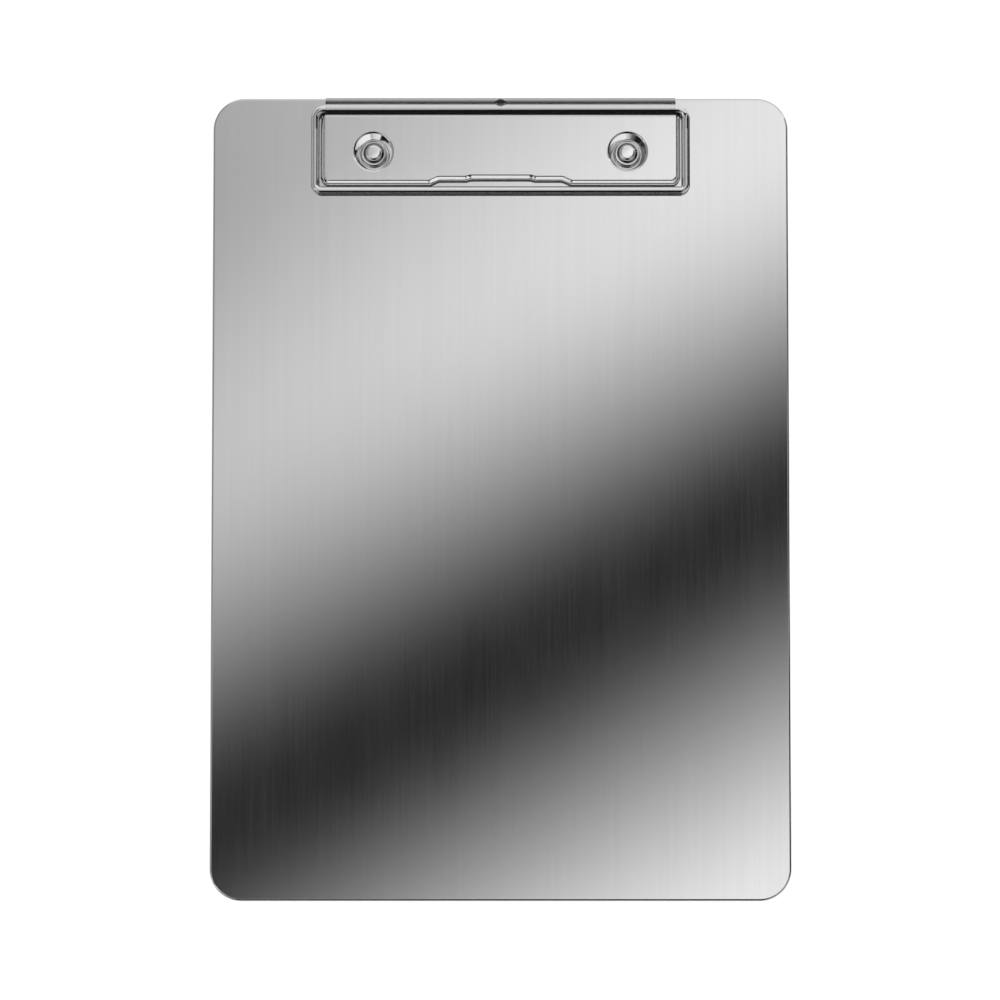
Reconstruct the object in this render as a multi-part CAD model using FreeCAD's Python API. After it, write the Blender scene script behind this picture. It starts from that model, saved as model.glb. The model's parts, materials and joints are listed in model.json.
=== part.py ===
import FreeCAD, Part
import math
import os

# Stainless steel clipboard with a low wire clip. Lengths are in millimetres, angles in degrees.
# X runs across the board, Y towards the clip and Z out of the writing face.
# The origin lies under the middle of the board, on the face that it rests on.

# Board
BOARD_WIDTH = 228.6
BOARD_LENGTH = 317.5
BOARD_THICKNESS = 1.5
BOARD_CORNER = 12.7
FACE_ROUNDING = 1.0
BACK_CHAMFER = 0.3

# Spring wire and the hem that it turns in
WIRE = 3.2
RUNNING_CLEARANCE = 0.05
SHEET = 0.8
HEM_SETBACK = 0.1
HEM_FOLD_INSIDE = 0.4
HEM_UNDERLAP = 1.5
AXIS_SETBACK = 5.1

# Pressed plate
PLATE_WIDTH = 142.6
PLATE_FRONT = 35.3
PLATE_HEIGHT = 3.8
PLATE_CORNER = 3.4
PAPER_SLOT = 1.4
BEND_INSIDE = 1.0
GROOVE_DEPTH = 0.95
GROOVE_INSIDE = 1.0
SHOULDER_OUTSIDE = 3.0

# Finger recess in the front lip
RECESS_WIDTH = 52.3
RECESS_DEPTH = 1.6
RECESS_RUN = 3.4
NOTCH_WIDTH = 25.4
NOTCH_DEPTH = 0.5
NOTCH_RUN = 1.4
RECESS_ROUNDING = 2.9

# Staking dent in the middle of the hem
DENT_RADIUS = 6.0
DENT_DEPTH = 0.5

# Rivets and their dimples
RIVET_INSET = 21.0
RIVET_SETBACK = 22.2
RIVET_SHANK = 4.0
RIVET_HEAD = 8.0
RIVET_HEAD_HEIGHT = 1.3
RIVET_HEAD_FLAT = 5.2
RIVET_TAIL = 6.4
RIVET_TAIL_DEPTH = 0.9
RIVET_CLEARANCE = 0.05
DIMPLE_MARGIN = 0.7
DIMPLE_ANGLE = 45.0
DIMPLE_BEND = 1.2
DIMPLE_RIM = 1.0

# Wire bail
LEG_GAP = 0.6
BAR_GAP = 0.4
BAR_LIFT = 0.15
JOURNAL_PROUD = 0.2
JOURNAL_LENGTH = 40.0
KINK_RUN = 7.7
KINK_RADIUS = 6.0
BAR_CORNER = 2.3

# Held ends of the wire
SPLIT_GAP = 0.1
BLADE_LENGTH = 10.0
BLADE_THICKNESS = 1.0
BLADE_BACK = 2.1
BLADE_FRONT = 6.0
MIDDLE_GAP = 0.5

# Sizes that follow from those above
WIRE_RADIUS = WIRE / 2
BORE_RADIUS = WIRE_RADIUS + RUNNING_CLEARANCE
HEM_RADIUS = BORE_RADIUS + SHEET
FOLD_RADIUS = HEM_FOLD_INSIDE + SHEET
FOLD_SETBACK = HEM_SETBACK + FOLD_RADIUS
BEND_OUTSIDE = BEND_INSIDE + SHEET
AXIS_HEIGHT = HEM_RADIUS
HALF_PLATE = PLATE_WIDTH / 2
HALF_HEM = HALF_PLATE - BEND_OUTSIDE
RIVET_X = HALF_PLATE - RIVET_INSET
LEG_X = HALF_PLATE + LEG_GAP + WIRE_RADIUS
BAR_SETBACK = PLATE_FRONT + BAR_GAP + WIRE_RADIUS
BAR_HEIGHT = BAR_LIFT + WIRE_RADIUS
ELBOW_X = HALF_HEM + JOURNAL_PROUD
ELBOW_RADIUS = LEG_X - ELBOW_X
JOURNAL_END = ELBOW_X - JOURNAL_LENGTH
GROOVE_HEIGHT = PLATE_HEIGHT - GROOVE_DEPTH + GROOVE_INSIDE
GROOVE_REACH = HEM_RADIUS + GROOVE_INSIDE
GROOVE_FLANK = math.asin((GROOVE_HEIGHT - AXIS_HEIGHT) / GROOVE_REACH)
GROOVE_SETBACK = AXIS_SETBACK + GROOVE_REACH * math.cos(GROOVE_FLANK)
SHOULDER_REACH = GROOVE_INSIDE + SHOULDER_OUTSIDE
SHOULDER_TURN = math.acos(1 - GROOVE_DEPTH / SHOULDER_REACH)
SHOULDER_SETBACK = GROOVE_SETBACK + SHOULDER_REACH * math.sin(SHOULDER_TURN)
LAP_SETBACK = SHOULDER_SETBACK + SHEET
FREE_EDGE = AXIS_SETBACK + HEM_UNDERLAP
UP = math.pi / 2
FAR = 20.0
NEAR = 0.01


def at(x, setback, height):
    """Point from its distance to the board's top edge and its height over the writing face."""
    return FreeCAD.Vector(x, BOARD_LENGTH / 2 - setback, BOARD_THICKNESS + height)


def rounded_wire(corners, closed=False):
    """Wire of straight runs and tangent arcs from (point, radius) pairs."""
    count = len(corners)
    edges = []
    starts = []
    ends = []
    arcs = []
    for index, (point, radius) in enumerate(corners):
        if radius == 0 or (not closed and index in (0, count - 1)):
            starts.append(point)
            ends.append(point)
            arcs.append(None)
            continue
        back = (corners[index - 1][0] - point).normalize()
        ahead = (corners[(index + 1) % count][0] - point).normalize()
        half = back.getAngle(ahead) / 2
        tangent = radius / math.tan(half)
        middle = point + (back + ahead).normalize() * (radius / math.sin(half) - radius)
        starts.append(point + back * tangent)
        ends.append(point + ahead * tangent)
        arcs.append(Part.Arc(starts[-1], middle, ends[-1]))
    for index in range(count):
        if arcs[index]:
            edges.append(arcs[index].toShape())
        if index + 1 < count or closed:
            run = Part.LineSegment(ends[index], starts[(index + 1) % count])
            edges.append(run.toShape())
    return Part.Wire(edges)


def around(setback, height, radius, angle):
    """Point of the sheet's section on a circle, at an angle that opens from the front upwards."""
    return at(0, setback + radius * math.cos(angle), height + radius * math.sin(angle))


def bend(setback, height, radius, start, end):
    """Bend of the sheet's section round a centre, from one angle to another."""
    points = [around(setback, height, radius, angle) for angle in (start, (start + end) / 2, end)]
    return Part.Arc(*points).toShape()


def straight(edge, next_edge):
    """Straight run of the sheet's section between two bends."""
    return Part.LineSegment(edge.lastVertex().Point, next_edge.firstVertex().Point).toShape()


def hem_lean():
    """Angle of the outward normal on the hem's straight upper run."""
    run = AXIS_SETBACK - FOLD_SETBACK
    rise = AXIS_HEIGHT - FOLD_RADIUS
    return math.atan2(rise, run) + math.acos((FOLD_RADIUS - HEM_RADIUS) / math.hypot(run, rise))


def sheet_run(depth):
    """Edges at a depth in the sheet, from the plate's flat over the wire to the free edge below it."""
    lean = hem_lean()
    shoulder = bend(SHOULDER_SETBACK, PLATE_HEIGHT - SHOULDER_OUTSIDE, SHOULDER_OUTSIDE - depth,
                    UP, UP + SHOULDER_TURN)
    groove = bend(GROOVE_SETBACK, GROOVE_HEIGHT, GROOVE_INSIDE + depth,
                  3 * UP + SHOULDER_TURN, 2 * UP + GROOVE_FLANK)
    roll = bend(AXIS_SETBACK, AXIS_HEIGHT, HEM_RADIUS - depth, GROOVE_FLANK, lean)
    fold = bend(FOLD_SETBACK, FOLD_RADIUS, FOLD_RADIUS - depth, lean, 3 * UP)
    flat = Part.LineSegment(at(0, LAP_SETBACK, PLATE_HEIGHT - depth), shoulder.firstVertex().Point)
    strip = Part.LineSegment(fold.lastVertex().Point, at(0, FREE_EDGE, depth))
    return [flat.toShape(), shoulder, groove, roll, straight(roll, fold), fold, strip.toShape()]


def make_dent(wall):
    """Ball that presses the hem's dent, or with a wall the ball that the dent's inside follows."""
    lean = hem_lean()
    ends = around(FOLD_SETBACK, FOLD_RADIUS, FOLD_RADIUS, lean)
    ends = ends + around(AXIS_SETBACK, AXIS_HEIGHT, HEM_RADIUS, lean)
    outward = around(0, 0, 1, lean) - at(0, 0, 0)
    return Part.makeSphere(DENT_RADIUS + wall, ends / 2 + outward * (DENT_RADIUS - DENT_DEPTH))


def make_hem():
    """Groove behind the plate's flat and teardrop hem round the wire, with the staking dent."""
    outside = sheet_run(0)
    inside = sheet_run(SHEET)
    free_edge = Part.LineSegment(outside[-1].lastVertex().Point, inside[-1].lastVertex().Point)
    lap_edge = Part.LineSegment(outside[0].firstVertex().Point, inside[0].firstVertex().Point)
    section = Part.Face(Part.Wire(
        outside + [free_edge.toShape()] + inside[::-1] + [lap_edge.toShape()]))
    section.translate(FreeCAD.Vector(-HALF_HEM, 0, 0))
    sheet = section.extrude(FreeCAD.Vector(2 * HALF_HEM, 0, 0))
    roll, ramp, fold = outside[3:6]
    core = Part.Face(Part.Wire([roll, ramp, fold, straight(fold, roll)]))
    core.translate(FreeCAD.Vector(-DENT_RADIUS, 0, 0))
    core = core.extrude(FreeCAD.Vector(2 * DENT_RADIUS, 0, 0))
    bulge = core.common(make_dent(SHEET))
    return sheet.fuse(bulge).cut(make_dent(0))


def plate_outline(height):
    """Plan of the plate's lip and sides, with the finger recess and its notch in the lip."""
    right = [(HALF_PLATE, -FAR, 0), (HALF_PLATE, PLATE_FRONT, PLATE_CORNER)]
    setback = PLATE_FRONT
    for width, run, depth in ((RECESS_WIDTH, RECESS_RUN, RECESS_DEPTH),
                              (NOTCH_WIDTH, NOTCH_RUN, NOTCH_DEPTH)):
        right.append(((width + run) / 2, setback, RECESS_ROUNDING))
        setback = setback - depth
        right.append(((width - run) / 2, setback, RECESS_ROUNDING))
    left = [(-x, setback, radius) for x, setback, radius in reversed(right)]
    return rounded_wire([(at(x, setback, height), radius) for x, setback, radius in right + left],
                        closed=True)


def make_tray_body(inset, low):
    """Solid under the plate's top, taken in by the inset, with rounded top edges."""
    outline = plate_outline(low)
    if inset:
        outline = outline.makeOffset2D(-inset)
    body = Part.Face(outline).extrude(FreeCAD.Vector(0, 0, PLATE_HEIGHT - inset - low))
    top_level = BOARD_THICKNESS + PLATE_HEIGHT - inset
    rounded = [edge for edge in body.Edges
               if min(vertex.Z for vertex in edge.Vertexes) > top_level - NEAR]
    return body.makeFillet(BEND_OUTSIDE - inset, rounded)


def make_tray():
    """Drawn tray of the plate: flat top, lip and sides, open at the back where the groove starts."""
    tray = make_tray_body(0, PAPER_SLOT).cut(make_tray_body(SHEET, PAPER_SLOT - SHEET))
    for half, end in ((HALF_PLATE, GROOVE_SETBACK), (HALF_HEM, LAP_SETBACK)):
        behind = Part.makeBox(2 * half, end + FAR, PLATE_HEIGHT, at(-half, end, 0))
        tray = tray.cut(behind)
    return tray


def make_dimple(x):
    """Coned dimple of the sheet, from a rim in the plate's flat down to a floor on the board."""
    floor = RIVET_HEAD / 2 + DIMPLE_MARGIN
    depth = PLATE_HEIGHT - SHEET
    cone = math.radians(DIMPLE_ANGLE)
    wall = SHEET * math.tan(cone / 2)
    mouth = floor + depth * math.tan(cone)
    rim = mouth + DIMPLE_BEND + DIMPLE_RIM
    hole = RIVET_SHANK / 2 + RIVET_CLEARANCE
    section = Part.Face(rounded_wire([
        (at(rim, RIVET_SETBACK, PLATE_HEIGHT), 0),
        (at(mouth, RIVET_SETBACK, PLATE_HEIGHT), DIMPLE_BEND),
        (at(floor, RIVET_SETBACK, SHEET), 0),
        (at(hole, RIVET_SETBACK, SHEET), 0),
        (at(hole, RIVET_SETBACK, 0), 0),
        (at(floor + wall, RIVET_SETBACK, 0), 0),
        (at(mouth + wall, RIVET_SETBACK, depth), 0),
        (at(rim, RIVET_SETBACK, depth), 0)], closed=True))
    cup = section.revolve(at(0, RIVET_SETBACK, 0), FreeCAD.Vector(0, 0, 1), 360)
    cup.translate(FreeCAD.Vector(x, 0, 0))
    opening = Part.makeCylinder(rim - DIMPLE_RIM / 2, PLATE_HEIGHT, at(x, RIVET_SETBACK, 0))
    return cup, opening


def make_clip_plate():
    """Pressed plate: drawn tray, coned dimples, groove and rolled hem in one sheet."""
    plate = make_tray()
    for side in (-1, 1):
        cup, opening = make_dimple(side * RIVET_X)
        plate = plate.cut(opening).fuse(cup)
    return plate.fuse(make_hem()).removeSplitter()


def make_wire_bail():
    """Spring wire round the plate, from one journal in the hem to the other."""
    half = [
        (at(JOURNAL_END, AXIS_SETBACK, AXIS_HEIGHT), 0),
        (at(LEG_X, AXIS_SETBACK, AXIS_HEIGHT), ELBOW_RADIUS),
        (at(LEG_X, AXIS_SETBACK + KINK_RUN, BAR_HEIGHT), KINK_RADIUS),
        (at(LEG_X, BAR_SETBACK, BAR_HEIGHT), BAR_CORNER),
    ]
    mirrored = [(FreeCAD.Vector(-p.x, p.y, p.z), radius) for p, radius in reversed(half)]
    path = rounded_wire(half + mirrored)
    circle = Part.Circle(half[0][0], FreeCAD.Vector(1, 0, 0), WIRE_RADIUS)
    return path.makePipeShell([Part.Wire(circle.toShape())], True, False)


def make_torsion_end(side):
    """Held inner end of the wire: a round bar whose tip is flattened to a blade in the hem."""
    inner = MIDDLE_GAP / 2
    outer = JOURNAL_END - SPLIT_GAP
    bar_start = inner + BLADE_LENGTH - WIRE_RADIUS
    bar = Part.makeCylinder(
        WIRE_RADIUS, outer - bar_start, at(bar_start, AXIS_SETBACK, AXIS_HEIGHT),
        FreeCAD.Vector(1, 0, 0))
    low = SHEET + RUNNING_CLEARANCE
    high = low + BLADE_THICKNESS
    section = Part.Face(Part.makePolygon([
        at(inner, BLADE_BACK, low), at(inner, BLADE_FRONT, low), at(inner, BLADE_FRONT, high),
        at(inner, BLADE_BACK, high), at(inner, BLADE_BACK, low)]))
    blade = section.extrude(FreeCAD.Vector(BLADE_LENGTH, 0, 0))
    blade = blade.cut(make_dent(SHEET + RUNNING_CLEARANCE))
    end = bar.fuse(blade).removeSplitter()
    if side < 0:
        end = end.mirror(FreeCAD.Vector(0, 0, 0), FreeCAD.Vector(1, 0, 0))
    return end


def make_rivet(side):
    """Flat-topped rivet: coned head on the dimple's floor, and a coned tail flush with the back."""
    shank = RIVET_SHANK / 2
    head = RIVET_HEAD / 2
    top = SHEET + RIVET_HEAD_HEIGHT
    bottom = -BOARD_THICKNESS
    outline = rounded_wire([
        (at(0, RIVET_SETBACK, bottom), 0), (at(RIVET_TAIL / 2, RIVET_SETBACK, bottom), 0),
        (at(shank, RIVET_SETBACK, bottom + RIVET_TAIL_DEPTH), 0), (at(shank, RIVET_SETBACK, SHEET), 0),
        (at(head, RIVET_SETBACK, SHEET), 0), (at(RIVET_HEAD_FLAT / 2, RIVET_SETBACK, top), 0),
        (at(0, RIVET_SETBACK, top), 0)], closed=True)
    axis = at(0, RIVET_SETBACK, 0)
    rivet = Part.Face(outline).revolve(axis, FreeCAD.Vector(0, 0, 1), 360)
    rivet.translate(FreeCAD.Vector(side * RIVET_X, 0, 0))
    return rivet


def make_board():
    """Flat board with round corners, rounded edges and two countersunk rivet holes."""
    half = BOARD_WIDTH / 2
    outline = rounded_wire([
        (at(x, setback, -BOARD_THICKNESS), BOARD_CORNER) for x, setback in (
            (-half, 0), (half, 0), (half, BOARD_LENGTH), (-half, BOARD_LENGTH))], closed=True)
    board = Part.Face(outline).extrude(FreeCAD.Vector(0, 0, BOARD_THICKNESS))
    face = [edge for edge in board.Edges if edge.BoundBox.ZMin > BOARD_THICKNESS - NEAR]
    board = board.makeFillet(FACE_ROUNDING, face)
    back = [edge for edge in board.Edges if edge.BoundBox.ZMax < NEAR]
    board = board.makeChamfer(BACK_CHAMFER, back)
    hole = RIVET_SHANK / 2 + RIVET_CLEARANCE
    sink = RIVET_TAIL / 2 + RIVET_CLEARANCE
    for side in (-1, 1):
        foot = at(side * RIVET_X, RIVET_SETBACK, -BOARD_THICKNESS)
        board = board.cut(Part.makeCylinder(hole, BOARD_THICKNESS, foot))
        board = board.cut(Part.makeCone(sink, hole, RIVET_TAIL_DEPTH, foot))
    return board


os.makedirs("parts", exist_ok=True)
pieces = {
    "board": make_board(),
    "clip_plate": make_clip_plate(),
    "wire_bail": make_wire_bail(),
    "left_torsion_end": make_torsion_end(-1),
    "right_torsion_end": make_torsion_end(1),
    "left_rivet": make_rivet(-1),
    "right_rivet": make_rivet(1),
}
for name, shape in pieces.items():
    shape.exportStep("parts/" + name + ".step")
    print(name, shape.isValid(), len(shape.Solids), round(shape.Volume, 2))
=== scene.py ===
import json
import math

import bmesh
import bpy
from mathutils import Matrix, Vector


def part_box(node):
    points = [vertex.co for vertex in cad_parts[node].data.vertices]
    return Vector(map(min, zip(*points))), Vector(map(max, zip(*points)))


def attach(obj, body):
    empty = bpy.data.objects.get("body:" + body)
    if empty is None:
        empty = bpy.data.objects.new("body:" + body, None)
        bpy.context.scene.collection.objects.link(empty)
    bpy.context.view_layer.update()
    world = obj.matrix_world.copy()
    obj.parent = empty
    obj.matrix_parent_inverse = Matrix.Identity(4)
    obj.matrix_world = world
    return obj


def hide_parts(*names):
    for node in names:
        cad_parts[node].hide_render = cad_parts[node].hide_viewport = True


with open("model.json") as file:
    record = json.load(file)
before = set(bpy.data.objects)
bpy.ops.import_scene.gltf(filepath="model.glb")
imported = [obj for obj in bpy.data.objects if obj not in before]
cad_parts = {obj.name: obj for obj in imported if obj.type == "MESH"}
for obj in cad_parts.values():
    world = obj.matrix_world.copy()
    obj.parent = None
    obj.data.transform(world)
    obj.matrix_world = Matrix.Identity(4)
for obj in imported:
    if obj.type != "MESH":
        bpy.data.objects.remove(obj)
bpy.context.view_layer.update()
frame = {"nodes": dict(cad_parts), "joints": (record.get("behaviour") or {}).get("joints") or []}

bl_info = {
    "name": "Steel clipboard",
    "version": (1, 0, 0),
    "blender": (4, 5, 0),
    "location": "3D View > Sidebar > Clipboard",
    "description": "Builds a brushed steel clipboard with a low wire clip on its packed frame",
    "category": "Object",
}

# Lengths are in metres. The board's top edge and writing face are what the clip is set out from.
MM = 0.001
BOARD_LOW, BOARD_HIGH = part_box("board")
PLATE_LOW, PLATE_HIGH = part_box("clip_plate")
RIVET_LOW, RIVET_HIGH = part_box("right_rivet")
RIVET_CENTRE = (RIVET_LOW + RIVET_HIGH) / 2
HINGE = Vector(frame["joints"][0]["pos_m"])
SIDES = (-1, 1)
QUARTER = math.radians(90)

# Places closer than the first count as one, and a cut uses a vertex closer than the second.
CLOSE = 0.001 * MM
CUT_CLOSE = 0.0001 * MM

# How often each noise repeats in a metre, across the board, along it and through it.
HAIRLINES = (2600, 22, 400)
STREAKS = (420, 5, 90)
HANDLING_MARKS = (28, 20, 28)
POLISH = (260, 260, 260)
DRAWN_LINES = (90, 900, 900)
TURNED_LINES = (700, 700, 700)
NOISE_RANGE = (0.3, 0.7)
# Near-black colour that paints shade into the plate's steel, in the staking dent and in the gap
# round each rivet head.
PAINTED_SHADE = (0.03, 0.03, 0.03, 1)

# Where each part of the studio's light starts and where it is full. The panels over the board go by
# the slope of the direction that they are seen in, and the low ones by the direction itself.
LEAST_RISE = 0.04
SLANT_SPAN = (-0.25, 0.3)
BACK_SPAN = (-0.008, 0.11)
BACK_FALL_SPAN = (0.11, 0.21)
STRIP_SPAN = (-0.022, -0.2)
STRIP_END = (-0.19, -0.155)
PANEL_RISE = (0.12, 0.3)
CARD_FOOT = (-0.022, -0.012)
CARD_TOP = (0.03, 0.018)
CARD_SIDE_SPAN = (0.1, 0.35)
CARD_FRONT = (-0.4, -0.5)
CARD_BACK = (0.1, 0.3)
HAZE_BACK = (0.2, 0.6)
HAZE_FOOT = (0.02, 0.2)
HAZE_TOP = (0.45, 0.2)
FILL_SIDE = (0.12, 0.5)
FILL_FRONT = (-0.12, -0.4)
FILL_FOOT = (0.2, 0.3)


def length(name, description, default):
    """Length property in metres."""
    return bpy.props.FloatProperty(name=name, description=description, default=default, min=0.0,
                                   precision=5, subtype="DISTANCE", unit="LENGTH")


def turn(name, description, default):
    """Angle property, given in degrees."""
    return bpy.props.FloatProperty(name=name, description=description,
                                   default=math.radians(default), subtype="ANGLE", unit="ROTATION")


def share(name, description, default, top=1.0):
    """Plain number between nothing and a top value."""
    return bpy.props.FloatProperty(name=name, description=description, default=default, min=0.0,
                                   max=top, precision=4, subtype="FACTOR")


def colour(name, description, default):
    """Colour property in linear values."""
    return bpy.props.FloatVectorProperty(name=name, description=description, default=default,
                                         size=3, min=0.0, max=1.0, subtype="COLOR")


class ClipboardSizes(bpy.types.PropertyGroup):
    """Sizes of the board, the pressed plate, the wire and the rivets."""
    board_corner: length("Board corner", "Radius of the board's corners in plan", 12.7 * MM)
    face_rounding: length("Face rounding", "Rounding of the writing face's edge", 1.0 * MM)
    back_rounding: length("Back rounding", "Rounding of the back face's edge", 0.3 * MM)
    sheet: length("Sheet", "Thickness of the clip's sheet", 0.8 * MM)
    wire: length("Wire", "Diameter of the spring wire", 3.2 * MM)
    plate_corner: length("Plate corner", "Radius of the plate's front corners", 3.4 * MM)
    plate_height: length("Plate height", "Top of the plate over the writing face", 3.8 * MM)
    paper_slot: length("Paper slot", "Lip's lower edge over the writing face", 1.4 * MM)
    bend: length("Bend", "Width and drop of the slanting edge round the plate's flat", 1.7 * MM)
    bend_edge: length("Bend edge", "How far each end of the slanting edge is rounded", 0.25 * MM)
    recess_width: length("Recess width", "Width of the finger recess", 52.3 * MM)
    recess_depth: length("Recess depth", "Depth of the finger recess", 1.6 * MM)
    recess_run: length("Recess run", "Width of the recess's slanting ends", 3.4 * MM)
    notch_width: length("Notch width", "Width of the notch in the recess", 25.4 * MM)
    notch_depth: length("Notch depth", "Depth of the notch in the recess", 0.5 * MM)
    notch_run: length("Notch run", "Width of the notch's slanting ends", 1.4 * MM)
    recess_rounding: length("Recess rounding", "Radius of the recess's corners", 2.9 * MM)
    shoulder: length("Shoulder", "Outside radius of the bend from the plate's flat", 2.4 * MM)
    groove: length("Groove", "Radius of the groove before the hem", 1.3 * MM)
    groove_depth: length("Groove depth", "Depth of the groove below the plate's flat", 0.05 * MM)
    fold: length("Fold", "Outside radius of the hem's sharp fold", 1.2 * MM)
    fold_setback: length("Fold setback", "Fold's centre from the board's top edge", 1.3 * MM)
    ramp_sag: length("Ramp sag", "Hollow of the hem's sloping run", 0.06 * MM)
    underlap: length("Underlap", "Hem's free edge in front of the wire's axis", 1.5 * MM)
    hem_inset: length("Hem inset", "Hem's ends from the plate's sides", 1.8 * MM)
    roll_clearance: length("Roll clearance", "Gap between wire and hem", 0.05 * MM)
    dent_radius: length("Dent radius", "Radius of the ball that stakes the hem", 6.0 * MM)
    dent_depth: length("Dent depth", "Depth of the staking dent", 0.35 * MM)
    dimple_bend: length("Dimple bend", "Radius of the dimple's rim", 1.2 * MM)
    dimple_floor: length("Dimple floor", "Radius of the dimple's flat floor", 4.7 * MM)
    dimple_foot: length("Dimple foot", "How far the dimple's foot is rounded", 0.25 * MM)
    rivet_shank: length("Rivet shank", "Diameter of the rivet's shank", 4.0 * MM)
    rivet_flat: length("Rivet flat", "Diameter of the flat on the rivet's head", 5.2 * MM)
    rivet_edge: length("Rivet edge", "Rounding of the rivet's head", 0.45 * MM)
    rivet_tail: length("Rivet tail", "Diameter of the flush tail", 6.4 * MM)
    rivet_tail_depth: length("Rivet tail depth", "Depth of the tail's cone", 0.9 * MM)
    leg_gap: length("Leg gap", "Gap between plate and the wire's legs", 0.6 * MM)
    elbow: length("Elbow", "Radius of the wire's elbows at the hem", 3.8 * MM)
    bar_corner: length("Bar corner", "Radius of the wire's front corners", 2.3 * MM)
    kink_run: length("Kink run", "Distance from the hinge line to the legs' kink", 7.7 * MM)
    kink_radius: length("Kink radius", "Radius of the legs' kink", 6.0 * MM)
    wire_split: length("Wire split", "Gap between the bail and its held ends", 0.1 * MM)


class ClipboardFinishes(bpy.types.PropertyGroup):
    """Colours and surface finish of the steel pieces, and the shade painted into the plate's dent
    and rivet gaps.
    """
    board_steel: colour("Board steel", "Colour of the brushed board", (0.70, 0.70, 0.70))
    clip_steel: colour("Clip steel", "Colour of the pressed plate", (0.72, 0.72, 0.72))
    bail_wire: colour("Bail wire", "Colour of the bright wire", (0.78, 0.78, 0.78))
    rivet_steel: colour("Rivet steel", "Colour of the rivets", (0.80, 0.80, 0.80))
    board_gloss: share("Board roughness", "Roughness of the brushed board", 0.085)
    clip_gloss: share("Clip roughness", "Roughness of the pressed plate", 0.075)
    wire_gloss: share("Wire roughness", "Roughness of the bright wire", 0.055)
    rivet_gloss: share("Rivet roughness", "Roughness of the rivets", 0.055)
    board_grain: share("Board grain", "How far the board's brush lines draw out reflections", 0.6)
    clip_grain: share("Clip grain", "How far the plate's brush lines draw out reflections", 0.3)
    # The dent settings place painted shade: the plate's steel is darkened in the staking dent.
    dent_place: share("Dent place", "Middle of the dent's painted shade down the hem's slope", 0.4)
    dent_painted_shade: length("Dent painted shade", "Radius of the dark middle of the dent", 1.6 * MM)
    dent_fade: length("Dent fade", "Radius at which the dent's painted shade ends", 2.7 * MM)
    # The seat settings place painted shade: a dark ring in the gap between each rivet head and its
    # dimple.
    seat_painted_shade: share("Seat painted shade", "Dark gap round a rivet, as a share of its dimple", 0.8)
    seat_fade: share("Seat fade", "End of the gap's painted shade, as a share of its dimple", 0.96)


class ClipboardStudio(bpy.types.PropertyGroup):
    """Camera, floor and the soft panels over the board."""
    camera_place: bpy.props.FloatVectorProperty(
        name="Camera place", description="Where the camera stands", size=3,
        default=(-0.0002, -0.0487, 0.9988), subtype="TRANSLATION", unit="LENGTH")
    camera_tilt: turn("Camera tilt", "Tilt of the camera from straight down", 2.723)
    camera_lens: bpy.props.FloatProperty(
        name="Camera lens", description="Focal length of the camera", default=91.08, unit="CAMERA")
    floor_size: length("Floor size", "Width of the pale floor", 16.0)
    floor_drop: length("Floor drop", "Floor's distance below the board", 0.05 * MM)
    floor_white: share("Floor white", "Brightness of the floor's paper", 0.86)
    floor_glow: share("Floor glow", "Level that the floor adds where it is seen", 0.74)
    panel_turn: turn("Panel turn", "Turn of the dark gap between the panels", 30.0)
    back_panel: share("Back panel", "Level of the panel behind the gap", 0.93, 4.0)
    back_fall: share("Back fall", "Share that the back panel loses further back", 0.36)
    left_share: share("Left share", "Share of the back panel's level at its left end", 0.68)
    right_gain: share("Right gain", "Share that it gains towards its right end", 0.6)
    front_panel: share("Front panel", "Level of the strip in front of the gap", 1.6, 4.0)
    front_fill: share("Front fill", "Level of the two soft panels in front", 0.45, 4.0)
    low_panel: share("Low panel", "Level of the card low in front of the board", 1.15, 4.0)
    low_back: share("Low back", "Level of the card low behind the board", 0.8, 4.0)
    card_tilt: share("Card tilt", "Rise of the low cards from back to front", 0.18)
    card_spread: share("Card spread", "Extra height of the low cards to the right", 0.07)
    back_haze: share("Back haze", "Level of the haze low behind the board", 0.4, 4.0)
    gap_level: share("Gap level", "Level left in the dark gap", 0.01, 4.0)


def at(x, setback, height):
    """Point from its distance to the board's top edge and its height over the writing face."""
    return Vector((x, BOARD_HIGH.y - setback, BOARD_HIGH.z + height))


def verts_of(geometry):
    """Vertices among the parts that an operator gives back."""
    return [part for part in geometry if isinstance(part, bmesh.types.BMVert)]


def edges_of(geometry):
    """Edges among the parts that an operator gives back."""
    return [part for part in geometry if isinstance(part, bmesh.types.BMEdge)]


def bevel(bm, geometry, offset, segments, affect="EDGES"):
    """Round bevel with its offset measured along the neighbouring edges or faces."""
    return bmesh.ops.bevel(bm, geom=geometry, offset=offset, offset_type="OFFSET",
                           segments=segments, profile=0.5, affect=affect, material=-1)


def ring_edges(verts):
    """Edges at some vertices, each once and in a fixed order."""
    return list(dict.fromkeys(edge for vert in verts for edge in vert.link_edges))


def rivet_axis(side, height):
    """Point on the axis of the left or the right rivet."""
    return Vector((side * RIVET_CENTRE.x, RIVET_CENTRE.y, height))


def largest_flat(bm, facing):
    """Largest face that looks up or down."""
    return max(bm.faces, key=lambda face: face.calc_area() * face.normal.z * facing)


def draw_out(bm, edges, shift):
    """Extrudes a chain of edges by a straight shift and gives back the new chain."""
    result = bmesh.ops.extrude_edge_only(bm, edges=edges)
    bmesh.ops.translate(bm, verts=verts_of(result["geom"]), vec=shift)
    return edges_of(result["geom"])


def draw_round(bm, edges, centre, axis, angle, steps):
    """Sweeps a chain of edges round an axis and gives back the last chain."""
    result = bmesh.ops.spin(bm, geom=edges, cent=centre, axis=axis, dvec=(0, 0, 0), angle=angle,
                            steps=steps, use_merge=False, use_duplicate=False)
    return edges_of(result["geom_last"])


def spin_round(bm, profile, centre):
    """Spins a profile all the way round an upright axis."""
    bmesh.ops.spin(bm, geom=profile, cent=centre, axis=(0, 0, 1), dvec=(0, 0, 0),
                   angle=2 * math.pi, steps=64, use_merge=True, use_duplicate=False)


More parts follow.
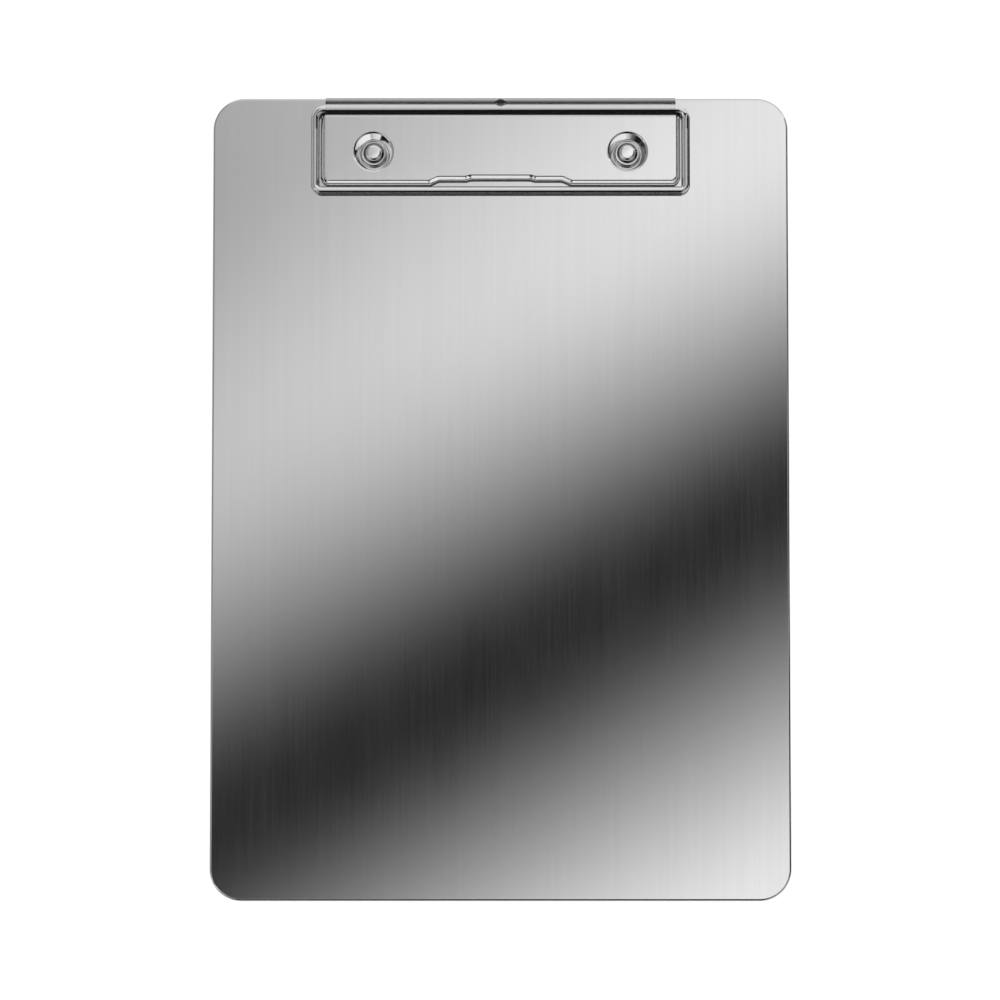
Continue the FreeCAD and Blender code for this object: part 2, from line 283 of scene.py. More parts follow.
def lay_sheet_map(bm):
    """Flat map in metres, sheared so that upright faces have width too.

    Its first direction runs across the brush lines.
    """
    shear = 0.5
    layer = bm.loops.layers.uv.new("sheet")
    for face in bm.faces:
        for loop in face.loops:
            place = loop.vert.co
            loop[layer].uv = (place.x + shear * place.z, place.y)


def tidy_skin(bm, upward=False):
    """Joins doubled vertices and turns the faces outward, or so that the highest one looks up."""
    bmesh.ops.remove_doubles(bm, verts=bm.verts, dist=2 * CLOSE)
    bmesh.ops.recalc_face_normals(bm, faces=bm.faces)
    if upward:
        highest = max(bm.faces, key=lambda face: face.calc_center_median().z)
        if highest.normal.z < 0:
            bmesh.ops.reverse_faces(bm, faces=bm.faces)


def set_piece(name, bm, material, body, slot, *nodes):
    """Finishes a mesh as a smooth piece of the object that stands for its nodes."""
    mesh = bpy.data.meshes.new(name)
    bm.to_mesh(mesh)
    bm.free()
    mesh.shade_smooth()
    mesh.materials.append(material)
    piece = bpy.data.objects.new(name, mesh)
    bpy.context.scene.collection.objects.link(piece)
    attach(piece, body)
    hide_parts(*nodes)
    return piece


def even_shading(piece):
    """Keeps flats flat and bends smooth by weighing normals with face size."""
    weighted = piece.modifiers.new("Even shading", "WEIGHTED_NORMAL")
    weighted.keep_sharp = True
    weighted.weight = 100


def open_rounds(bm, face, radius, sides):
    """Opens a flat face round each rivet and gives back the edges of each circle."""
    height = face.calc_center_median().z
    facing = face.normal.copy()
    border = list(face.edges)
    bmesh.ops.delete(bm, geom=[face], context="FACES_ONLY")
    rims = []
    for side in SIDES:
        place = Matrix.Translation(rivet_axis(side, height))
        circle = bmesh.ops.create_circle(bm, cap_ends=False, segments=sides, radius=radius,
                                         matrix=place)
        rims.append(ring_edges(circle["verts"]))
    bmesh.ops.triangle_fill(bm, use_beauty=True, use_dissolve=False, normal=facing,
                            edges=border + rims[0] + rims[1])
    return rims


def build_board(sizes):
    """Board with round corners, a rounded edge and coned pockets for the rivets' tails."""
    bm = bmesh.new()
    corners = [bm.verts.new((x, y, BOARD_LOW.z)) for x, y in (
        (BOARD_LOW.x, BOARD_LOW.y), (BOARD_HIGH.x, BOARD_LOW.y),
        (BOARD_HIGH.x, BOARD_HIGH.y), (BOARD_LOW.x, BOARD_HIGH.y))]
    bm.faces.new(corners)
    bevel(bm, corners, sizes.board_corner, segments=28, affect="VERTICES")
    raised = bmesh.ops.extrude_face_region(bm, geom=list(bm.faces), use_keep_orig=True)
    bmesh.ops.translate(bm, verts=verts_of(raised["geom"]),
                        vec=(0, 0, BOARD_HIGH.z - BOARD_LOW.z))
    tidy_skin(bm)
    bevel(bm, list(largest_flat(bm, 1).edges), sizes.face_rounding, segments=8)
    bevel(bm, list(largest_flat(bm, -1).edges), sizes.back_rounding, segments=4)
    gap = sizes.roll_clearance
    rims = open_rounds(bm, largest_flat(bm, -1), sizes.rivet_tail / 2 + gap, sides=48)
    for side, rim in zip(SIDES, rims):
        centre = rivet_axis(side, BOARD_LOW.z)
        seat = draw_out(bm, rim, (0, 0, sizes.rivet_tail_depth))
        narrow = (sizes.rivet_shank + 2 * gap) / (sizes.rivet_tail + 2 * gap)
        bmesh.ops.scale(bm, verts=list({vert for edge in seat for vert in edge.verts}),
                        vec=(narrow, narrow, 1), space=Matrix.Translation(-centre))
        bmesh.ops.edgeloop_fill(bm, edges=seat)
    tidy_skin(bm)
    lay_sheet_map(bm)
    return bm


class HemSection:
    """Centres and turns of the bends from the plate's flat over the wire to the free edge."""

    def __init__(self, sizes):
        self.roll = sizes.wire / 2 + sizes.roll_clearance + sizes.sheet
        self.axis = Vector((0, HINGE.y, HINGE.z))
        setback = BOARD_HIGH.y - HINGE.y
        height = HINGE.z - BOARD_HIGH.z
        groove_height = sizes.plate_height - sizes.groove_depth + sizes.groove
        reach = self.roll + sizes.groove
        self.flank = math.asin((groove_height - height) / reach)
        self.groove_setback = setback + reach * math.cos(self.flank)
        self.groove = at(0, self.groove_setback, groove_height)
        reach = sizes.groove + sizes.shoulder
        self.dip = math.acos(1 - sizes.groove_depth / reach)
        self.shoulder_setback = self.groove_setback + reach * math.sin(self.dip)
        self.shoulder = at(0, self.shoulder_setback, sizes.plate_height - sizes.shoulder)
        self.fold = at(0, sizes.fold_setback, sizes.fold)
        run = setback - sizes.fold_setback
        rise = height - sizes.fold
        self.lean = math.atan2(rise, run)
        self.lean += math.acos((sizes.fold - self.roll) / math.hypot(run, rise))
        self.outward = Vector((0, -math.cos(self.lean), math.sin(self.lean)))
        self.ramp_top = self.axis + self.outward * self.roll
        self.ramp_foot = self.fold + self.outward * sizes.fold
        self.free_edge = setback + sizes.underlap


def lip_plan(sizes, height, back):
    """Corners of the plate's plan, from the left back corner round the lip to the right one."""
    setback = BOARD_HIGH.y - PLATE_LOW.y
    right = [(PLATE_HIGH.x, back), (PLATE_HIGH.x, setback)]
    for width, run, depth in ((sizes.recess_width, sizes.recess_run, sizes.recess_depth),
                              (sizes.notch_width, sizes.notch_run, sizes.notch_depth)):
        right.append(((width + run) / 2, setback))
        setback -= depth
        right.append(((width - run) / 2, setback))
    left = [(-x, setback) for x, setback in right]
    return [at(x, setback, height) for x, setback in left + right[::-1]]


def build_plate(sizes):
    """Skin of the pressed plate: lip and sides, groove, curled hem, staking dent and dimples."""
    bm = bmesh.new()
    section = HemSection(sizes)
    plan = lip_plan(sizes, sizes.paper_slot, section.groove_setback)
    floor = bm.faces.new([bm.verts.new(point) for point in plan])
    raised = bmesh.ops.extrude_face_region(bm, geom=[floor], use_keep_orig=True)
    bmesh.ops.translate(bm, verts=verts_of(raised["geom"]),
                        vec=(0, 0, sizes.plate_height - sizes.paper_slot))
    bm.normal_update()
    back = max(bm.faces, key=lambda face: face.calc_center_median().y)
    bmesh.ops.delete(bm, geom=[floor, back], context="FACES")
    round_lip_corners(bm, sizes)
    round_bends(bm, sizes)
    roll_hem(bm, sizes, section, cut_hem_columns(bm, sizes, section))
    press_dent(bm, sizes, section)
    press_dimples(bm, sizes)
    tidy_skin(bm, upward=True)
    lay_sheet_map(bm)
    return bm


def upright_edges(bm, near, far):
    """Upright edges of the lip whose distance from the middle lies between two values."""
    return [edge for edge in bm.edges
            if (edge.verts[0].co - edge.verts[1].co).xy.length < CLOSE
            and near < abs(edge.verts[0].co.x) < far]


def round_lip_corners(bm, sizes):
    """Rounds the lip's upright edges: the ends of notch and recess, and the front corners."""
    for width, run, depth in ((sizes.notch_width, sizes.notch_run, sizes.notch_depth),
                              (sizes.recess_width, sizes.recess_run, sizes.recess_depth)):
        slant = math.atan2(depth, run)
        bevel(bm, upright_edges(bm, width / 2 - run, width / 2 + run),
              sizes.recess_rounding * math.tan(slant / 2), segments=6)
    front = (BOARD_HIGH.y + PLATE_LOW.y) / 2
    outer = upright_edges(bm, PLATE_HIGH.x - sizes.bend, PLATE_HIGH.x + sizes.bend)
    corners = [edge for edge in outer if edge.verts[0].co.y < front]
    bevel(bm, corners, sizes.plate_corner, segments=12)


def round_bends(bm, sizes):
    """Slants the edge of the plate's flat round the lip and both sides, and rounds its two ends."""
    level, upright, sharp = 0.99, 0.05, math.radians(30)
    bm.normal_update()
    rim = [edge for edge in bm.edges if len(edge.link_faces) == 2
           and max(face.normal.z for face in edge.link_faces) > level
           and min(face.normal.z for face in edge.link_faces) < upright]
    slanting = set(bevel(bm, rim, sizes.bend, segments=1)["faces"])
    bm.normal_update()
    ends = [edge for edge in bm.edges if len(edge.link_faces) == 2
            and not slanting.isdisjoint(edge.link_faces)
            and edge.calc_face_angle() > sharp]
    bevel(bm, ends, sizes.bend_edge, segments=4)


def cut_hem_columns(bm, sizes, section):
    """Ends the plate's flat where the groove starts, and divides that edge where the dent comes."""
    bm.normal_update()
    line = BOARD_HIGH.y - section.shoulder_setback
    for place in (line, line - sizes.sheet):
        flat = largest_flat(bm, 1)
        bmesh.ops.bisect_plane(bm, geom=[flat] + list(flat.edges) + list(flat.verts),
                               dist=CUT_CLOSE, plane_co=(0, place, 0), plane_no=(0, 1, 0))
    level = BOARD_HIGH.z + sizes.plate_height - CLOSE
    strips = [face for face in bm.faces if min(vert.co.z for vert in face.verts) > level]
    behind = max(strips, key=lambda face: face.calc_center_bounds().y)
    bmesh.ops.delete(bm, geom=[behind], context="FACES")
    margin, steps = 1.15, 9
    reach = margin * math.sqrt(2 * sizes.dent_radius * sizes.dent_depth)
    end = PLATE_HIGH.x - sizes.hem_inset
    for place in [-end, end] + [reach * step / steps for step in range(-steps, steps + 1)]:
        strip = dict.fromkeys(face for edge in bm.edges if along_line(edge, line)
                              for face in edge.link_faces)
        parts = dict.fromkeys(part for face in strip
                              for part in (face, *face.edges, *face.verts))
        bmesh.ops.bisect_plane(bm, geom=list(parts), dist=CUT_CLOSE, plane_co=(place, 0, 0),
                               plane_no=(1, 0, 0))
    return [edge for edge in bm.edges if along_line(edge, line)
            and max(abs(vert.co.x) for vert in edge.verts) < end + CLOSE]


def along_line(edge, line):
    """Whether an edge lies on a line across the plate."""
    return edge.is_boundary and all(abs(vert.co.y - line) < CLOSE for vert in edge.verts)


def roll_hem(bm, sizes, section, chain):
    """Draws the sheet through the groove, over the wire, round the fold and back under the wire."""
    across = Vector((1, 0, 0))
    rise = QUARTER + section.dip - section.flank
    chain = draw_round(bm, chain, section.shoulder, across, -section.dip, steps=10)
    chain = draw_round(bm, chain, section.groove, across, rise, steps=12)
    chain = draw_round(bm, chain, section.axis, across, section.flank - section.lean, steps=26)
    run = (section.ramp_foot - section.ramp_top).length / 2
    bow = (run * run + sizes.ramp_sag * sizes.ramp_sag) / (2 * sizes.ramp_sag)
    centre = (section.ramp_foot + section.ramp_top) / 2 + section.outward * (bow - sizes.ramp_sag)
    chain = draw_round(bm, chain, centre, across, 2 * math.asin(run / bow), steps=14)
    chain = draw_round(bm, chain, section.fold, across, section.lean - 3 * QUARTER, steps=14)
    draw_out(bm, chain, (0, sizes.fold_setback - section.free_edge, 0))


def press_dent(bm, sizes, section):
    """Presses the staking dent into the middle of the hem's sloping run."""
    ball = (section.ramp_top + section.ramp_foot) / 2
    ball += section.outward * (sizes.dent_radius - sizes.dent_depth)
    for vert in bm.verts:
        away = vert.co - ball
        if away.length < sizes.dent_radius:
            vert.co = ball + away.normalized() * sizes.dent_radius


def press_dimples(bm, sizes):
    """Opens the plate's flat round each rivet and spins a coned dimple down to the board.

    The cone falls at 45 degrees, so its rim is rounded over the tangent of half that angle.
    """
    bm.normal_update()
    flat = largest_flat(bm, 1)
    top = BOARD_HIGH.z + sizes.plate_height
    floor = BOARD_HIGH.z + sizes.sheet
    mouth = sizes.dimple_floor + top - floor
    rounding = sizes.dimple_bend * math.tan(QUARTER / 4)
    rim = mouth + rounding
    hole = sizes.rivet_shank / 2
    open_rounds(bm, flat, rim, sides=64)
    for side in SIDES:
        centre = rivet_axis(side, 0)
        run = [bm.verts.new(centre + Vector((0, reach, height))) for reach, height in (
            (rim, top), (mouth, top), (sizes.dimple_floor, floor), (hole, floor))]
        for pair in zip(run, run[1:]):
            bm.edges.new(pair)
        bevel(bm, run[1:2], rounding, segments=8, affect="VERTICES")
        bevel(bm, run[2:3], sizes.dimple_foot, segments=4, affect="VERTICES")
        spin_round(bm, [edge for edge in bm.edges if edge.is_wire], centre)


def build_bail(sizes):
    """Spring wire round the plate: journals in the hem, elbows, kinked legs and the front bar."""
    bm = bmesh.new()
    radius = sizes.wire / 2
    leg = PLATE_HIGH.x + sizes.leg_gap + radius
    bail_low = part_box("wire_bail")[0]
    bar_y = bail_low.y + radius
    bar_z = bail_low.z + radius
    elbow_x = leg - sizes.elbow
    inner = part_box("right_torsion_end")[1].x + sizes.wire_split
    start = Vector((inner, HINGE.y, HINGE.z))
    facing = Matrix.Translation(start) @ Matrix.Rotation(QUARTER, 4, "Y")
    ring = bmesh.ops.create_circle(bm, cap_ends=False, segments=32, radius=radius, matrix=facing)
    chain = ring_edges(ring["verts"])
    bmesh.ops.edgeloop_fill(bm, edges=chain)
    chain = draw_out(bm, chain, (elbow_x - inner, 0, 0))
    dip = math.atan2(HINGE.z - bar_z, sizes.kink_run)
    down = Vector((0, -math.cos(dip), -math.sin(dip)))
    bend = Vector((elbow_x, HINGE.y, HINGE.z))
    chain = draw_round(bm, chain, bend + down * sizes.elbow, (0, math.sin(dip), -math.cos(dip)),
                       QUARTER, steps=14)
    tangent = sizes.kink_radius * math.tan(dip / 2)
    run = math.hypot(sizes.kink_run, HINGE.z - bar_z) - sizes.elbow - tangent
    chain = draw_out(bm, chain, down * run)
    kink = Vector((leg, HINGE.y - sizes.kink_run - tangent, bar_z + sizes.kink_radius))
    chain = draw_round(bm, chain, kink, (-1, 0, 0), dip, steps=4)
    corner_y = bar_y + sizes.bar_corner
    chain = draw_out(bm, chain, (0, corner_y - kink.y, 0))
    pivot = Vector((leg - sizes.bar_corner, corner_y, bar_z))
    chain = draw_round(bm, chain, pivot, (0, 0, -1), QUARTER, steps=14)
    draw_out(bm, chain, (-pivot.x, 0, 0))
    bmesh.ops.mirror(bm, geom=list(bm.verts) + list(bm.edges) + list(bm.faces), axis="X",
                     merge_dist=10 * CLOSE)
    tidy_skin(bm)
    return bm


def build_rivet(sizes, side):
    """Rivet spun from its section: flat-topped head, shank and flush coned tail."""
    bm = bmesh.new()
    centre = rivet_axis(side, 0)
    head = (RIVET_HIGH.x - RIVET_LOW.x) / 2
    seat = BOARD_HIGH.z + sizes.sheet
    shank = sizes.rivet_shank / 2
    section = [(0, RIVET_HIGH.z), (sizes.rivet_flat / 2, RIVET_HIGH.z), (head, seat), (shank, seat),
               (shank, RIVET_LOW.z + sizes.rivet_tail_depth), (sizes.rivet_tail / 2, RIVET_LOW.z),
               (0, RIVET_LOW.z)]
    run = [bm.verts.new(centre + Vector((reach, 0, height))) for reach, height in section]
    for pair in zip(run, run[1:]):
        bm.edges.new(pair)
    bevel(bm, run[1:2], sizes.rivet_edge, segments=8, affect="VERTICES")
    spin_round(bm, list(bm.edges), centre)
    tidy_skin(bm)
    return bm


class NodeSheet:
    """Short way to lay out nodes."""

    def __init__(self, owner):
        owner.use_nodes = True
        self.tree = owner.node_tree

    def add(self, kind, **settings):
        """New node with some of its settings changed."""
        node = self.tree.nodes.new(kind)
        for key, value in settings.items():
            setattr(node, key, value)
        return node

    def join(self, output, socket):
        """Link from one node's output to another's input."""
        self.tree.links.new(output, socket)


class SteelNodes(NodeSheet):
    """Nodes of one material."""

    def __init__(self, name):
        self.material = bpy.data.materials.new(name)
        super().__init__(self.material)
        self.shader = self.tree.nodes["Principled BSDF"]

    def stretched_noise(self, place, scale, detail, roughness=0.55):
        """Noise drawn out along the brush lines, on the piece's own coordinates."""
        mapping = self.add("ShaderNodeMapping")
        mapping.inputs["Scale"].default_value = scale
        self.join(place, mapping.inputs["Vector"])
        noise = self.add("ShaderNodeTexNoise")
        noise.inputs["Scale"].default_value = 1.0
        noise.inputs["Detail"].default_value = detail
        noise.inputs["Roughness"].default_value = roughness
        self.join(mapping.outputs["Vector"], noise.inputs["Vector"])
        return noise.outputs["Fac"]

    def spread(self, value, low, high):
        """Carries noise from its usual range to the range between two values."""
        node = self.add("ShaderNodeMapRange")
        node.inputs["From Min"].default_value, node.inputs["From Max"].default_value = NOISE_RANGE
        node.inputs["To Min"].default_value = low
        node.inputs["To Max"].default_value = high
        self.join(value, node.inputs["Value"])
        return node.outputs["Result"]

    def tint(self, value, colour, swing):
        """Base colour that swings a little to either side of its tone."""
        mix = self.add("ShaderNodeMix", data_type="RGBA")
        mix.inputs["A"].default_value = [part * (1 - swing) for part in colour] + [1]
        mix.inputs["B"].default_value = [min(part * (1 + swing), 1) for part in colour] + [1]
        self.join(self.spread(value, 0.0, 1.0), mix.inputs["Factor"])
        self.join(mix.outputs["Result"], self.shader.inputs["Base Color"])

    def relief(self, value, depth):
        """Surface relief of a given depth in metres."""
        bump = self.add("ShaderNodeBump")
        bump.inputs["Strength"].default_value = 1.0
        bump.inputs["Distance"].default_value = depth
        self.join(value, bump.inputs["Height"])
        self.join(bump.outputs["Normal"], self.shader.inputs["Normal"])


def paint_shade_mark(steel, centre, dark, reach):
    """Paints shade into the steel: darkens it near a point, as the shade in a dent or a gap, and
    fades out at its reach.
    """
    place = steel.add("ShaderNodeTexCoord").outputs["Object"]
    tone = steel.shader.inputs["Base Color"].links[0].from_socket
    away = steel.add("ShaderNodeVectorMath", operation="DISTANCE")
    away.inputs[1].default_value = centre
    steel.join(place, away.inputs[0])
    fade = steel.add("ShaderNodeMapRange", interpolation_type="SMOOTHSTEP")
    fade.inputs["From Min"].default_value = dark
    fade.inputs["From Max"].default_value = reach
    steel.join(away.outputs["Value"], fade.inputs["Value"])
    mix = steel.add("ShaderNodeMix", data_type="RGBA")
    mix.inputs["A"].default_value = PAINTED_SHADE
    steel.join(fade.outputs["Result"], mix.inputs["Factor"])
    steel.join(tone, mix.inputs["B"])
    steel.join(mix.outputs["Result"], steel.shader.inputs["Base Color"])


def brushed_steel(name, tone, gloss, grain):
    """Steel brushed along the board: long hairlines, soft streaks and faint handling marks."""
    line_swing, mark_swing = 0.008, 0.004
    steel = SteelNodes(name)
    place = steel.add("ShaderNodeTexCoord").outputs["Object"]
    hairlines = steel.stretched_noise(place, HAIRLINES, detail=3.0, roughness=0.65)
    streaks = steel.stretched_noise(place, STREAKS, detail=2.0)
    marks = steel.stretched_noise(place, HANDLING_MARKS, detail=3.0)
    steel.tint(streaks, tone, swing=0.012)
    worn = steel.add("ShaderNodeMath", operation="ADD")
    steel.join(steel.spread(hairlines, gloss - line_swing, gloss + line_swing), worn.inputs[0])
    steel.join(steel.spread(marks, -mark_swing, mark_swing), worn.inputs[1])
    steel.join(worn.outputs["Value"], steel.shader.inputs["Roughness"])
    steel.relief(hairlines, depth=0.0012 * MM)
    steel.shader.inputs["Metallic"].default_value = 1.0
    steel.shader.inputs["Anisotropic"].default_value = grain
    tangent = steel.add("ShaderNodeTangent", direction_type="UV_MAP", uv_map="sheet")
    steel.join(tangent.outputs["Tangent"], steel.shader.inputs["Tangent"])
    return steel


def bright_steel(name, tone, gloss, drawn):
    """Bright steel with faint lines left by drawing or turning, and small differences in polish."""
    line_swing, smoothest = 0.015, 0.02
    steel = SteelNodes(name)
    place = steel.add("ShaderNodeTexCoord").outputs["Object"]
    lines = steel.stretched_noise(place, drawn, detail=2.0)
    polish = steel.stretched_noise(place, POLISH, detail=3.0)
    steel.tint(polish, tone, swing=0.015)
    steel.join(steel.spread(lines, max(gloss - line_swing, smoothest), gloss + line_swing),
               steel.shader.inputs["Roughness"])
    steel.relief(polish, depth=0.0008 * MM)
    steel.shader.inputs["Metallic"].default_value = 1.0
    return steel.material


class ClipboardOperator(bpy.types.Operator):
    """Shared reading of the clipboard's settings."""
    bl_options = {"REGISTER", "UNDO"}

    def settings(self, context):
        return context.scene.clipboard_sizes, context.scene.clipboard_finishes


class CLIPBOARD_OT_board(ClipboardOperator):
    """Build the brushed board."""
    bl_idname = "clipboard.board"
    bl_label = "Board"

    def execute(self, context):
        sizes, finishes = self.settings(context)
        steel = brushed_steel("brushed board steel", finishes.board_steel, finishes.board_gloss,
                              finishes.board_grain)
        board = set_piece("board_sheet", build_board(sizes), steel.material, "base", "board_steel",
                          "board")
        even_shading(board)
        return {"FINISHED"}


class CLIPBOARD_OT_plate(ClipboardOperator):
    """Build the pressed plate of the clip."""
    bl_idname = "clipboard.plate"
    bl_label = "Clip plate"

    def execute(self, context):
        sizes, finishes = self.settings(context)
        steel = brushed_steel("pressed plate steel", finishes.clip_steel, finishes.clip_gloss,
                              finishes.clip_grain)
        section = HemSection(sizes)
        dent = section.ramp_top.lerp(section.ramp_foot, finishes.dent_place)
        dent -= section.outward * sizes.dent_depth
        # Painted shade in the staking dent, darkening the plate's colour there.
        paint_shade_mark(steel, dent, finishes.dent_painted_shade, finishes.dent_fade)
        # Painted shade in the gap round each rivet head, darkening the dimple's floor ring.
        for side in SIDES:
            seat = rivet_axis(side, BOARD_HIGH.z + sizes.sheet)
            paint_shade_mark(steel, seat, finishes.seat_painted_shade * sizes.dimple_floor,
                      finishes.seat_fade * sizes.dimple_floor)
        plate = set_piece("clip_pressing", build_plate(sizes), steel.material, "base", "clip_steel",
                          "clip_plate")
        wall = plate.modifiers.new("Sheet", "SOLIDIFY")
        wall.thickness = sizes.sheet
        wall.offset = -1.0
        wall.use_even_offset = True
        wall.use_rim = True
        even_shading(plate)
        return {"FINISHED"}


class CLIPBOARD_OT_bail(ClipboardOperator):
    """Build the wire bail and finish its held ends."""
    bl_idname = "clipboard.bail"
    bl_label = "Wire bail"

    def execute(self, context):
        sizes, finishes = self.settings(context)
        steel = bright_steel("bright spring wire", finishes.bail_wire, finishes.wire_gloss,
                             DRAWN_LINES)
        set_piece("bail_wire_form", build_bail(sizes), steel, "bail", "bail_wire", "wire_bail")
        for name in ("left_torsion_end", "right_torsion_end"):
            held = frame["nodes"][name]
            held.data.materials.clear()
            held.data.materials.append(steel)
        return {"FINISHED"}


class CLIPBOARD_OT_rivets(ClipboardOperator):
    """Build the two rivets."""
    bl_idname = "clipboard.rivets"
    bl_label = "Rivets"

    def execute(self, context):
        sizes, finishes = self.settings(context)
        steel = bright_steel("polished rivet steel", finishes.rivet_steel, finishes.rivet_gloss,
                             TURNED_LINES)
        for side, name in zip(SIDES, ("left_rivet", "right_rivet")):
            rivet = set_piece(name + "_turned", build_rivet(sizes, side), steel, "base",
                              "rivet_steel", name)
            even_shading(rivet)
        return {"FINISHED"}


class LightNodes(NodeSheet):
    """Nodes that work out how bright the floor or the studio is."""

    def feed(self, socket, value):
        """Gives an input a plain number, or a link from another node."""
        if isinstance(value, (int, float)):
            socket.default_value = value
        else:
            self.join(value, socket)

    def work(self, operation, first, second):
        """Outcome of one step of arithmetic on two values."""
        node = self.add("ShaderNodeMath", operation=operation)
        self.feed(node.inputs[0], first)
        self.feed(node.inputs[1], second)
        return node.outputs["Value"]

    def ramp(self, value, span, level=1.0):
        """Smooth rise from nothing at the start of a span to a level at its end."""
        node = self.add("ShaderNodeMapRange", interpolation_type="SMOOTHSTEP")
        self.feed(node.inputs["Value"], value)
        node.inputs["From Min"].default_value, node.inputs["From Max"].default_value = span
        node.inputs["To Min"].default_value = 0.0
        node.inputs["To Max"].default_value = level
        return node.outputs["Result"]


def floor_paper(studio):
    """Pale paper that reads as white in the picture and still takes the object's shadow."""
    material = bpy.data.materials.new("floor paper")
    paper = LightNodes(material)
    shader = paper.tree.nodes["Principled BSDF"]
    shader.inputs["Base Color"].default_value = [studio.floor_white] * 3 + [1]
    shader.inputs["Roughness"].default_value = 0.9
    shader.inputs["Emission Color"].default_value = (1, 1, 1, 1)
    path = paper.add("ShaderNodeLightPath").outputs
    seen = paper.work("MAXIMUM", path["Is Camera Ray"], path["Is Glossy Ray"])
    seen = paper.work("MAXIMUM", seen, path["Is Transmission Ray"])
    paper.feed(shader.inputs["Emission Strength"], paper.work("MULTIPLY", seen, studio.floor_glow))
    return material


def studio_light(world, studio):
    """Lights the scene from soft panels behind and before a slanting dark gap over the board."""
    sky = LightNodes(world)
    sky.tree.nodes.clear()
    split = sky.add("ShaderNodeSeparateXYZ")
    sky.feed(split.inputs["Vector"], sky.add("ShaderNodeTexCoord").outputs["Generated"])
    right, depth, rise = (split.outputs[axis] for axis in "XYZ")
    height = sky.work("MAXIMUM", rise, LEAST_RISE)
    across = sky.work("DIVIDE", right, height)
    away = sky.work("DIVIDE", depth, height)
    lean = studio.panel_turn
    behind = sky.work("SUBTRACT", sky.work("MULTIPLY", away, math.cos(lean)),
                      sky.work("MULTIPLY", across, math.sin(lean)))
    along = sky.work("ADD", sky.work("MULTIPLY", across, math.cos(lean)),
                     sky.work("MULTIPLY", away, math.sin(lean)))
    slant = sky.work("ADD", sky.ramp(along, SLANT_SPAN, studio.right_gain), studio.left_share)
    back = sky.work("MULTIPLY", sky.ramp(behind, BACK_SPAN, studio.back_panel), slant)
    fall = sky.ramp(behind, BACK_FALL_SPAN, studio.back_fall * studio.back_panel)
    strip = sky.work("MULTIPLY", sky.ramp(behind, STRIP_SPAN, studio.front_panel),
                     sky.ramp(behind, STRIP_END))
    panels = sky.work("ADD", sky.work("SUBTRACT", back, fall), strip)
    panels = sky.work("MULTIPLY", panels, sky.ramp(rise, PANEL_RISE))
    facing = sky.work("MULTIPLY", behind, height)
    tilted = sky.work("ADD", rise, sky.work("MULTIPLY", depth, studio.card_tilt))
    upper = sky.work("SUBTRACT", tilted, sky.ramp(right, CARD_SIDE_SPAN, studio.card_spread))
    card = sky.work("MULTIPLY", sky.ramp(tilted, CARD_FOOT), sky.ramp(upper, CARD_TOP))
    ends = sky.work("ADD", sky.ramp(facing, CARD_FRONT, studio.low_panel),
                    sky.ramp(facing, CARD_BACK, studio.low_back))
    low = sky.work("MULTIPLY", card, ends)
    haze = sky.work("MULTIPLY", sky.ramp(facing, HAZE_BACK, studio.back_haze),
                    sky.ramp(rise, HAZE_FOOT))
    haze = sky.work("MULTIPLY", haze, sky.ramp(rise, HAZE_TOP))
    aside = sky.work("ABSOLUTE", right, 0.0)
    fill = sky.work("MULTIPLY", sky.ramp(aside, FILL_SIDE, studio.front_fill),
                    sky.ramp(depth, FILL_FRONT))
    fill = sky.work("MULTIPLY", fill, sky.ramp(rise, FILL_FOOT))
    light = sky.work("ADD", sky.work("ADD", panels, haze), sky.work("ADD", low, fill))
    ground = sky.add("ShaderNodeBackground")
    ground.inputs["Color"].default_value = (1, 1, 1, 1)
    sky.feed(ground.inputs["Strength"], sky.work("ADD", light, studio.gap_level))
    output = sky.add("ShaderNodeOutputWorld")
    sky.feed(output.inputs["Surface"], ground.outputs["Background"])


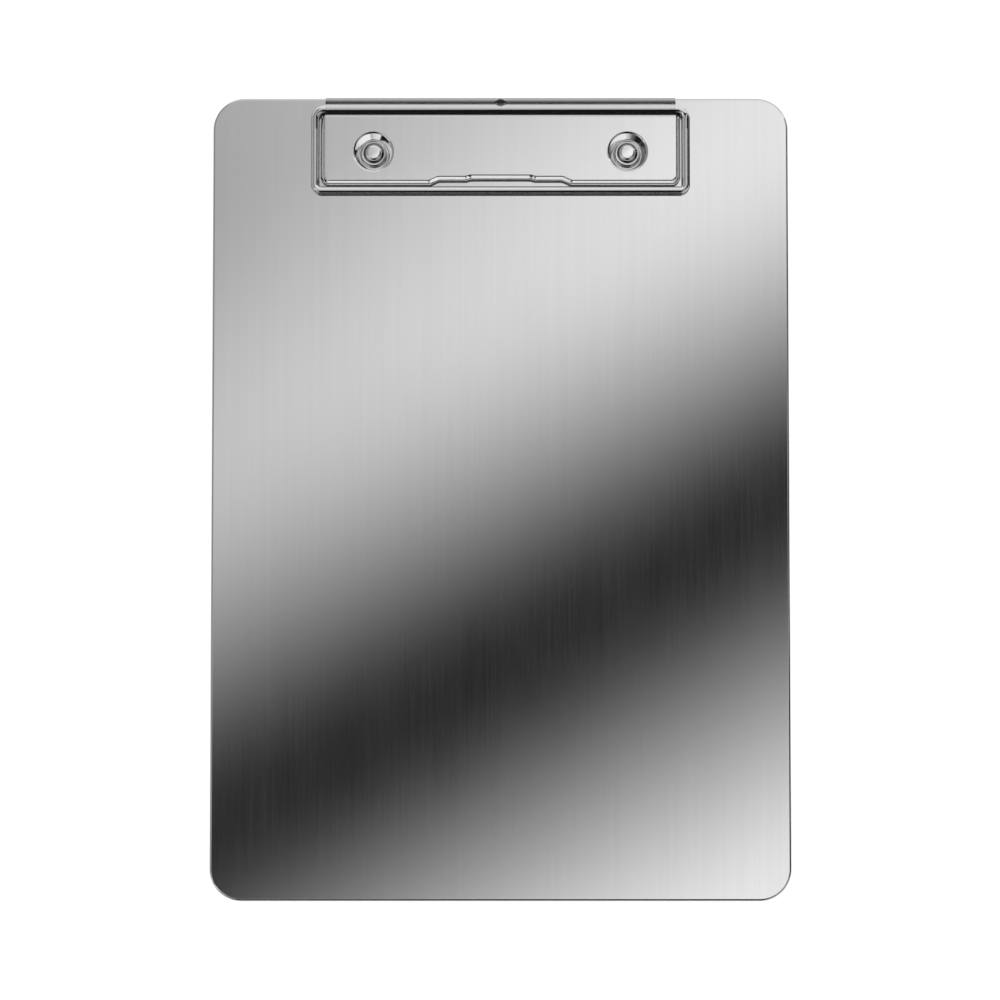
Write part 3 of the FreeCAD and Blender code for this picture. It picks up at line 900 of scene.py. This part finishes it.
class CLIPBOARD_OT_stage(ClipboardOperator):
    """Set the camera, the pale floor and the soft light."""
    bl_idname = "clipboard.stage"
    bl_label = "Stage"

    def execute(self, context):
        scene = context.scene
        studio = scene.clipboard_studio
        bm = bmesh.new()
        bmesh.ops.create_grid(bm, x_segments=2, y_segments=2, size=studio.floor_size / 2,
                              matrix=Matrix.Translation((0, 0, -studio.floor_drop)))
        mesh = bpy.data.meshes.new("floor")
        bm.to_mesh(mesh)
        bm.free()
        mesh.materials.append(floor_paper(studio))
        floor = bpy.data.objects.new("floor", mesh)
        scene.collection.objects.link(floor)
        scene.world = scene.world or bpy.data.worlds.new("studio")
        studio_light(scene.world, studio)
        lens = bpy.data.cameras.new("camera")
        lens.lens = studio.camera_lens
        lens.sensor_width = 36.0
        lens.clip_start = 0.01
        lens.clip_end = 50.0
        camera = bpy.data.objects.new("camera", lens)
        camera.location = studio.camera_place
        camera.rotation_euler = (studio.camera_tilt, 0, 0)
        scene.collection.objects.link(camera)
        scene.camera = camera
        scene.view_settings.view_transform = "Standard"
        return {"FINISHED"}


class CLIPBOARD_PT_build(bpy.types.Panel):
    """Steps of the clipboard in the sidebar."""
    bl_idname = "CLIPBOARD_PT_build"
    bl_label = "Clipboard"
    bl_space_type = "VIEW_3D"
    bl_region_type = "UI"
    bl_category = "Clipboard"

    def draw(self, context):
        for step in STEPS:
            self.layout.operator(step.bl_idname)


STEPS = (CLIPBOARD_OT_board, CLIPBOARD_OT_plate, CLIPBOARD_OT_bail, CLIPBOARD_OT_rivets,
         CLIPBOARD_OT_stage)
CLASSES = (ClipboardSizes, ClipboardFinishes, ClipboardStudio) + STEPS + (CLIPBOARD_PT_build,)


def register():
    for item in CLASSES:
        bpy.utils.register_class(item)
    bpy.types.Scene.clipboard_sizes = bpy.props.PointerProperty(type=ClipboardSizes)
    bpy.types.Scene.clipboard_finishes = bpy.props.PointerProperty(type=ClipboardFinishes)
    bpy.types.Scene.clipboard_studio = bpy.props.PointerProperty(type=ClipboardStudio)


def unregister():
    del bpy.types.Scene.clipboard_studio
    del bpy.types.Scene.clipboard_finishes
    del bpy.types.Scene.clipboard_sizes
    for item in reversed(CLASSES):
        bpy.utils.unregister_class(item)


def main():
    register()
    bpy.ops.clipboard.board()
    bpy.ops.clipboard.plate()
    bpy.ops.clipboard.bail()
    bpy.ops.clipboard.rivets()
    bpy.ops.clipboard.stage()


if __name__ == "__main__":
    main()
